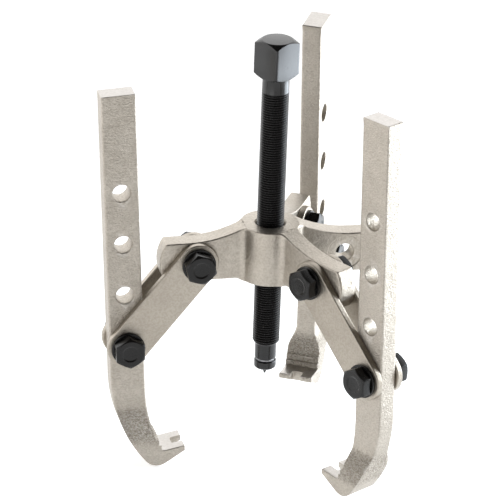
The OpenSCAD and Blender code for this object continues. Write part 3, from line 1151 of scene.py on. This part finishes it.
@dataclass
class ForcingScrew:
    """The forcing screw with its square head, its swivel tip and the ring that holds the tip."""

    shop: Workshop
    head_flats: float = 19.0
    head_high: float = 23.2
    head_turn: float = 31.3
    head_flat: float = 18.0
    head_slope: float = 30.0
    neck_wide: float = 15.8
    neck_long: float = 8.6
    outside: float = 16.0
    pitch: float = 1.5
    thread_low: float = 21.0
    nose_wide: float = 12.8
    nose_low: float = 10.9
    stem_wide: float = 7.0
    stem_top: float = 19.5
    ring_wide: float = 11.2
    ring_gap: float = 20.0
    collar_wide: float = 13.1
    collar_top: float = 9.4
    collar_low: float = 4.4
    point_wide: float = 2.4

    @property
    def top(self) -> float:
        """Height of the head's top."""
        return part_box("forcing_screw")[1].z / MM

    def build_screw(self) -> None:
        """Builds the screw in one skin, from its nose to its head."""
        half = self.head_flats / 2
        square = np.array([[half, half], [-half, half], [-half, -half], [half, -half]])
        reach, angle = polygon(square, 0.9, 6, 17)
        top, bottom = self.top, self.top - self.head_high
        fall = (reach - self.head_flat / 2) * math.tan(math.radians(self.head_slope))
        side = np.stack([level(reach, bottom + fall), level(reach, top - fall)])
        flat, neck = self.head_flat / 2, self.neck_wide / 2
        nose, bore, roof = self.nose_wide / 2, self.stem_wide / 2, self.stem_top + 0.4
        neck_low = bottom - self.neck_long
        head = np.concatenate([
            even(angle, [(neck, neck_low + 0.6), (neck, bottom), (flat, bottom)]),
            side,
            even(angle, [(flat, top), (0, top)]),
        ])
        tip = even(angle, [
            (0, roof), (bore, roof), (bore, self.nose_low),
            (nose - 0.5, self.nose_low), (nose, self.nose_low + 0.5), (nose, self.thread_low - 0.4),
            (nose + 0.2, self.thread_low),
        ])
        screw = threaded(
            angle, self.outside / 2, self.pitch, self.thread_low, neck_low, nose + 0.2, runout=0.7
        )
        skin = Skin().grid(wrapped(np.concatenate([soften(tip, 0.2), screw, soften(head, 0.3)]), angle))
        piece = skin.piece("forcing_screw_thread", Matrix.Rotation(math.radians(self.head_turn), 4, "Z"))
        self.shop.add(piece, "forcing_screw", "screw", Finish.BLACK_OXIDE)
        piece.data.materials.append(self.shop.paint.materials[Finish.CUT_THREAD])
        height = np.array([face.center.z for face in piece.data.polygons]) / MM
        cut = (height > self.thread_low) & (height < neck_low)
        piece.data.polygons.foreach_set("material_index", cut.astype(np.int32))

    def build_tip(self) -> None:
        """Builds the swivel tip: a stem, a chamfered collar and a small point."""
        collar, point, stem = self.collar_wide / 2, self.point_wide / 2, self.stem_wide / 2 - 0.05
        low, high = self.collar_low, self.collar_top
        profile = np.array([
            (0, 0), (0.35, 0), (point, 2),
            (point, low - 0.3), (point + 0.4, low), (collar - 0.9, low), (collar, low + 0.9),
            (collar, high - 0.3), (collar - 0.3, high), (stem, high),
            (stem, self.stem_top), (0, self.stem_top),
        ])
        skin = Skin().grid(turned(soften(profile, 0.15), 80), close_columns=True)
        piece = skin.piece("swivel_tip_point", Matrix.Identity(4))
        self.shop.add(piece, "swivel_tip", "swivel_tip", Finish.BLACK_OXIDE)

    def build_ring(self) -> None:
        """Builds the retaining ring: an open ring of flat wire, closed at both of its ends."""
        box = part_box("tip_retaining_ring")
        low, high = box[0].z / MM, box[1].z / MM
        outer, inner = self.ring_wide / 2, self.stem_wide / 2 + 0.05
        middle = np.array([(inner + outer) / 2, (low + high) / 2])
        section = rounded(np.array([[outer, high], [inner, high], [inner, low], [outer, low]]), 0.25, 3)
        along = np.linspace(self.ring_gap, 360 - self.ring_gap, 62)
        angle = np.radians(np.concatenate([along[:1], along, along[-1:]]))
        full = np.ones((len(angle), 1, 1))
        full[[0, -1]] = 0
        skin = Skin().grid(wrapped(middle + (section - middle) * full, angle[:, None]), close_columns=True)
        piece = skin.piece("tip_retaining_ring_wire", Matrix.Identity(4))
        self.shop.add(piece, "tip_retaining_ring", "screw", Finish.SPRING_STEEL)

    def build(self) -> None:
        """Builds the screw, its tip and the ring."""
        self.build_screw()
        self.build_tip()
        self.build_ring()


@dataclass(frozen=True)
class Plan:
    """The yoke from above: an outline, and two things about each of its points.

    Share is how much of an arm's end bulge the point takes, and way is the unit vector along
    the arm that it belongs to.
    """

    loop: Array
    share: Array
    way: Array


@dataclass
class Yoke:
    """The forged yoke: a threaded hub with four arms, worked out as two fields of heights.

    Seen from above, its outline can be reached from the screw's axis in a straight line
    everywhere, so its top and bottom are ruled along those lines from the bore to the rim.
    """

    shop: Workshop
    arms: tuple[float, ...] = (-60.0, 0.0, 60.0, 180.0)
    hub_radius: float = 17.7
    hub_high: float = 34.2
    arm_high: float = 24.4
    arm_drop: float = 8.1
    hole_reach: float = 44.5
    end_radius: float = 22.3
    sweep_radius: float = 75.0
    sweep_end: float = 50.0
    narrow_fillet: float = 4.5
    wide_fillet: float = 5.5
    corner: float = 1.0
    edge: float = 0.7
    bore: float = 16.1
    bore_ease: float = 1.5
    spot_face: float = 21.6
    spot_deep: float = 0.45

    def __post_init__(self) -> None:
        """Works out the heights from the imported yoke."""
        self.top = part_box("yoke")[1].z / MM
        self.bottom = self.top - self.hub_high
        self.arm_top = self.top - self.arm_drop
        self.arm_bottom = self.arm_top - self.arm_high
        self.axis = (self.arm_top + self.arm_bottom) / 2

    def upper(self, along: Array) -> Array:
        """Height of the top: level over the hub, then a hollow arc down to the arm's end."""
        inside = np.clip(self.sweep_radius**2 - np.minimum(along - self.sweep_end, 0) ** 2, 0, None)
        return np.minimum(self.top, self.arm_top + self.sweep_radius - np.sqrt(inside))

    def lower(self, away: Array) -> Array:
        """Height of the underside: the hub stands a little below the arms."""
        return self.bottom + (self.arm_bottom - self.bottom) * smooth_step((away - self.hub_radius) / 4)

    def bulge(self, height: Array) -> Array:
        """How far an arm's round end stands out past its top corner, at a height."""
        half = self.arm_high / 2
        rise = np.clip(height - self.axis, -half, half)
        return np.sqrt(self.end_radius**2 - rise**2) - math.sqrt(self.end_radius**2 - half**2)

    def quarter(self, arm: float, fillet: float) -> Array:
        """Outline from the middle of an arm's end to the hub, on the arm's left.

        Args:
            arm: the arm's direction, in degrees.
            fillet: radius of the hollow corner between arm and hub.

        Returns:
            Array of points with, for each: x, y, and how much of the end's bulge it takes.
        """
        half = self.shop.fit.arm_thick / 2
        end = self.hole_reach + math.sqrt(self.end_radius**2 - (self.arm_high / 2) ** 2)
        root = math.sqrt((self.hub_radius + fillet) ** 2 - (half + fillet) ** 2)
        touch = math.degrees(math.atan2(half + fillet, root))
        local = np.concatenate([
            line((end, 0), (end, half - self.corner), 5),
            arc((end - self.corner, half - self.corner), self.corner, 0, 90, 4)[1:],
            line((end - self.corner, half), (root, half), 30)[1:],
            arc((root, half + fillet), fillet, -90, touch - 180, 12)[1:],
        ])
        share = smooth_step((local[:, 0] - self.hole_reach) / (end - self.corner - self.hole_reach))
        turn = math.radians(arm)
        world = local @ np.array([[math.cos(turn), math.sin(turn)], [-math.sin(turn), math.cos(turn)]])
        return np.concatenate([world, share[:, None]], axis=1)

    def plan(self) -> Plan:
        """Draws the yoke from above.

        Returns:
            The closed outline: for each gap, one arm's left half, the hub and the next arm's
            right half, which is its left half mirrored.
        """
        parts, ways = [], []
        for index, arm in enumerate(self.arms):
            onward = self.arms[(index + 1) % len(self.arms)]
            gap = (onward - arm) % 360
            fillet = self.narrow_fillet if gap < 90 else self.wide_fillet
            first, second = self.quarter(arm, fillet), self.quarter(onward, fillet)
            twice = math.radians(2 * onward)
            flip = np.array([[math.cos(twice), math.sin(twice)], [math.sin(twice), -math.cos(twice)]])
            mirrored = np.concatenate([second[:, :2] @ flip, second[:, 2:]], axis=1)[::-1]
            start = math.degrees(math.atan2(first[-1, 1], first[-1, 0]))
            width = gap - 2 * ((start - arm) % 360)
            hub = arc((0, 0), self.hub_radius, start, start + width, max(3, round(width / 4)))[1:-1]
            hub = np.pad(hub, ((0, 0), (0, 1)))
            parts.append(np.concatenate([first, hub, mirrored[:-1]]))
            count = len(first) + len(hub) // 2
            angle = np.radians(np.where(np.arange(len(parts[-1])) < count, arm, onward))
            ways.append(np.stack([np.cos(angle), np.sin(angle)], axis=1))
        joined = np.concatenate(parts)
        return Plan(joined[:, :2], joined[:, 2], np.concatenate(ways))

    def row(self, plan: Plan, plane: Array, height: Array) -> Array:
        """Points at given places and heights, pushed out by the bulge of the arms' ends."""
        pushed = plane + plan.way * (plan.share * self.bulge(height))[:, None]
        return np.concatenate([pushed, height[:, None]], axis=1)

    def face(self, plan: Plan, top: bool) -> list[Array]:
        """Rows of the top or the bottom.

        Args:
            plan: the outline.
            top: whether it is the top.

        Returns:
            Rows from the bore's mouth straight out to the rolled edge, and round it to the wall.
        """
        normal = outward(plan.loop)
        reach = self.bore / 2 + self.bore_ease
        mouth = plan.loop / np.linalg.norm(plan.loop, axis=1, keepdims=True) * reach
        flat = plan.loop - normal * self.edge
        shares = [*np.linspace(0, 0.96, 34), 0.985]
        planes = [(mouth * (1 - part) + flat * part, 0.0) for part in shares]
        planes += [
            (plan.loop - normal * self.edge * (1 - math.cos(turn)), self.edge * (1 - math.sin(turn)))
            for turn in np.radians(np.linspace(90, 0, 5))
        ]
        if top:
            heights = [self.upper((plane * plan.way).sum(axis=1)) - fall for plane, fall in planes]
        else:
            heights = [self.lower(np.linalg.norm(plane, axis=1)) + fall for plane, fall in planes]
        return [self.row(plan, plane, height) for (plane, _), height in zip(planes, heights)]

    def build(self) -> None:
        """Builds the yoke and cuts the cross holes and spot faces in its arms."""
        plan = self.plan()
        top, bottom = self.face(plan, True), self.face(plan, False)
        high, low = top[-1][:, 2], bottom[-1][:, 2]
        wall = [
            self.row(plan, plan.loop, high * (1 - part) + low * part)
            for part in (0.03, *np.linspace(0.1, 0.9, 9), 0.97)
        ]
        direction = plan.loop / np.linalg.norm(plan.loop, axis=1, keepdims=True)
        low_end, high_end = self.bottom + self.bore_ease, self.top - self.bore_ease
        bore = [
            np.concatenate([direction * (self.bore / 2 + wider), np.full((len(direction), 1), z)], axis=1)
            for wider, z in ((0.15, low_end - 0.3), (0, low_end), (0, high_end), (0.15, high_end + 0.3))
        ]
        rows = top + wall + bottom[::-1] + bore
        skin = Skin().grid(np.stack(rows), close_rows=True, close_columns=True)
        piece = skin.piece("yoke_forging", Matrix.Identity(4))
        carve(piece, [cutter for arm in self.arms for cutter in self.arm_cutters(arm)])
        self.shop.add(piece, "yoke", "yoke", Finish.YOKE_NICKEL)

    def arm_cutters(self, arm: float) -> list[bpy.types.Mesh]:
        """Shapes that are cut out of one arm.

        Args:
            arm: the arm's direction, in degrees.

        Returns:
            Cutters for its cross hole and for a spot face on each of its sides.
        """
        half = self.shop.fit.arm_thick / 2
        place = (
            Matrix.Rotation(math.radians(arm), 4, "Z")
            @ Matrix.Translation((self.hole_reach * MM, 0, self.axis * MM))
            @ Matrix.Rotation(math.radians(90), 4, "X")
        )
        hole = hole_cutter(self.shop.fit.hole / 2, half - self.spot_deep, 0.5)
        radius, deep, past = self.spot_face / 2, half - self.spot_deep, half + 3
        floor = [(0, deep), (radius - 0.4, deep), (radius, deep + 0.4)]
        profile = np.array([*floor, (radius + 0.6, past), (0, past)])
        cutters = [hole.mesh("hole", place)]
        for side in (1, -1):
            skin = Skin().grid(turned(profile * [1, side], 72), close_columns=True)
            cutters.append(skin.mesh("spot_face", place))
        return cutters


# ---------------------------------------------------------------- studio


@dataclass(frozen=True)
class SoftBox:
    """A rectangular studio light."""

    name: str
    place: tuple[float, float, float]
    aim: tuple[float, float, float]
    size: tuple[float, float]
    power: float
    tint: tuple[float, float, float] = (1.0, 1.0, 1.0)

    def build(self) -> None:
        """Hangs the light, facing its aim."""
        lamp = bpy.data.lights.new(self.name, "AREA")
        lamp.shape = "RECTANGLE"
        lamp.size, lamp.size_y = self.size
        lamp.energy = self.power
        lamp.color = self.tint
        made = bpy.data.objects.new(self.name, lamp)
        facing = Vector(self.aim) - Vector(self.place)
        turn = facing.to_track_quat("-Z", "Y").to_matrix().to_4x4()
        made.matrix_world = Matrix.Translation(self.place) @ turn
        made.visible_camera = False
        bpy.context.scene.collection.objects.link(made)


@dataclass(frozen=True)
class Studio:
    """Pale floor, soft light and the camera."""

    aim: tuple[float, float, float] = (-0.0127, -0.0042, 0.0834)
    azimuth: float = -13.68
    elevation: float = 24.77
    roll: float = 2.112
    distance: float = 2.336
    lens: float = 286.8
    sensor: float = 36.0
    floor_gap: float = 0.0004
    floor_size: float = 16.0
    floor_glow: float = 0.5
    boxes: tuple[SoftBox, ...] = (
        SoftBox("right_box", (0.37, 0.04, 0.11), (0.0, 0.04, 0.11), (0.36, 0.28), 2.6, (0.84, 0.92, 1.0)),
        SoftBox("left_box", (-0.42, 0.12, 0.14), (0.0, 0.0, 0.08), (0.6, 0.34), 0.35),
        SoftBox("near_box", (-0.45, -0.45, 0.12), (0.0, 0.0, 0.12), (0.4, 0.3), 0.5),
    )

    def build_camera(self) -> None:
        """Places the camera: turned round the aim, raised, and rolled about its view."""
        turn, rise, roll = (math.radians(a) for a in (self.azimuth, self.elevation, self.roll))
        ahead = Vector((-math.sin(turn) * math.cos(rise), math.cos(turn) * math.cos(rise), -math.sin(rise)))
        right = Vector((math.cos(turn), math.sin(turn), 0))
        above = right.cross(ahead)
        side = right * math.cos(roll) + above * math.sin(roll)
        top = above * math.cos(roll) - right * math.sin(roll)
        turned_frame = Matrix((side, top, -ahead)).transposed().to_4x4()
        lens = bpy.data.cameras.new("camera")
        lens.lens, lens.sensor_width = self.lens, self.sensor
        lens.clip_end = 50
        camera = bpy.data.objects.new("camera", lens)
        camera.matrix_world = Matrix.Translation(Vector(self.aim) - ahead * self.distance) @ turned_frame
        bpy.context.scene.collection.objects.link(camera)
        bpy.context.scene.camera = camera

    def build_floor(self) -> None:
        """Lays a pale, faintly lit floor just under the lowest claw."""
        half, low = self.floor_size / 2, CAD_BOX[0][2] - self.floor_gap
        side = np.linspace(-half, half, 9)
        x, y = np.meshgrid(side, side)
        skin = Skin().grid(np.stack([x, y, np.full_like(x, low)], axis=-1) / MM)
        floor = skin.piece("floor", Matrix.Identity(4))
        paint = bpy.data.materials.new("studio_floor")
        paint.use_nodes = True
        shader = paint.node_tree.nodes["Principled BSDF"]
        shader.inputs["Base Color"].default_value = (0.92, 0.92, 0.92, 1)
        shader.inputs["Roughness"].default_value = 0.9
        shader.inputs["Specular IOR Level"].default_value = 0.2
        shader.inputs["Emission Color"].default_value = (1, 1, 1, 1)
        shader.inputs["Emission Strength"].default_value = self.floor_glow
        floor.data.materials.append(paint)

    def build_sky(self) -> None:
        """Surrounds the set with plain light, brighter behind and dark overhead in front."""
        world = bpy.data.worlds.new("studio_air")
        world.use_nodes = True
        world.node_tree.nodes.clear()
        graph = Graph(world.node_tree)
        way = graph.add("ShaderNodeTexCoord").outputs["Generated"]
        front, back, up = (
            graph.add("ShaderNodeVectorMath", {0: way, 1: aim}, operation="DOT_PRODUCT").outputs["Value"]
            for aim in ((-0.12, -0.80, 0.59), (0.21, 0.88, 0.42), (0.0, -0.10, 0.99))
        )
        dark = graph.math("MAXIMUM", graph.band(front, 0.30, 0.70), graph.band(up, 0.60, 0.84))
        glow = graph.blend(graph.band(back, 0.4, 0.9), (1.4, 1.4, 1.4, 1), (1.85, 1.85, 1.85, 1))
        colour = graph.blend(dark, glow, (0.05, 0.045, 0.04, 1))
        light = graph.add("ShaderNodeBackground", {"Color": colour, "Strength": 1.0})
        graph.add("ShaderNodeOutputWorld", {"Surface": light.outputs["Background"]})
        bpy.context.scene.world = world

    def build(self) -> None:
        """Builds the whole studio."""
        self.build_camera()
        self.build_floor()
        self.build_sky()
        for box in self.boxes:
            box.build()
        bpy.context.scene.view_settings.view_transform = "Standard"


STATIONS = (
    Station("left", 3.0, 1, -16.0, 33.0),
    Station("front", -1.6, -1, 30.0, 30.0),
    Station("rear", -4.5, -1, 30.0, 30.0),
)


def main() -> None:
    """Builds the studio and every sub-assembly in order."""
    logging.basicConfig(level=logging.INFO, format="%(name)s %(message)s")
    Studio().build()
    shop = Workshop(Paintbox())
    Yoke(shop).build()
    ForcingScrew(shop).build()
    for station in STATIONS:
        Jaw(station, shop).build()
        Links(station, shop).build()


if __name__ == "__main__":
    main()
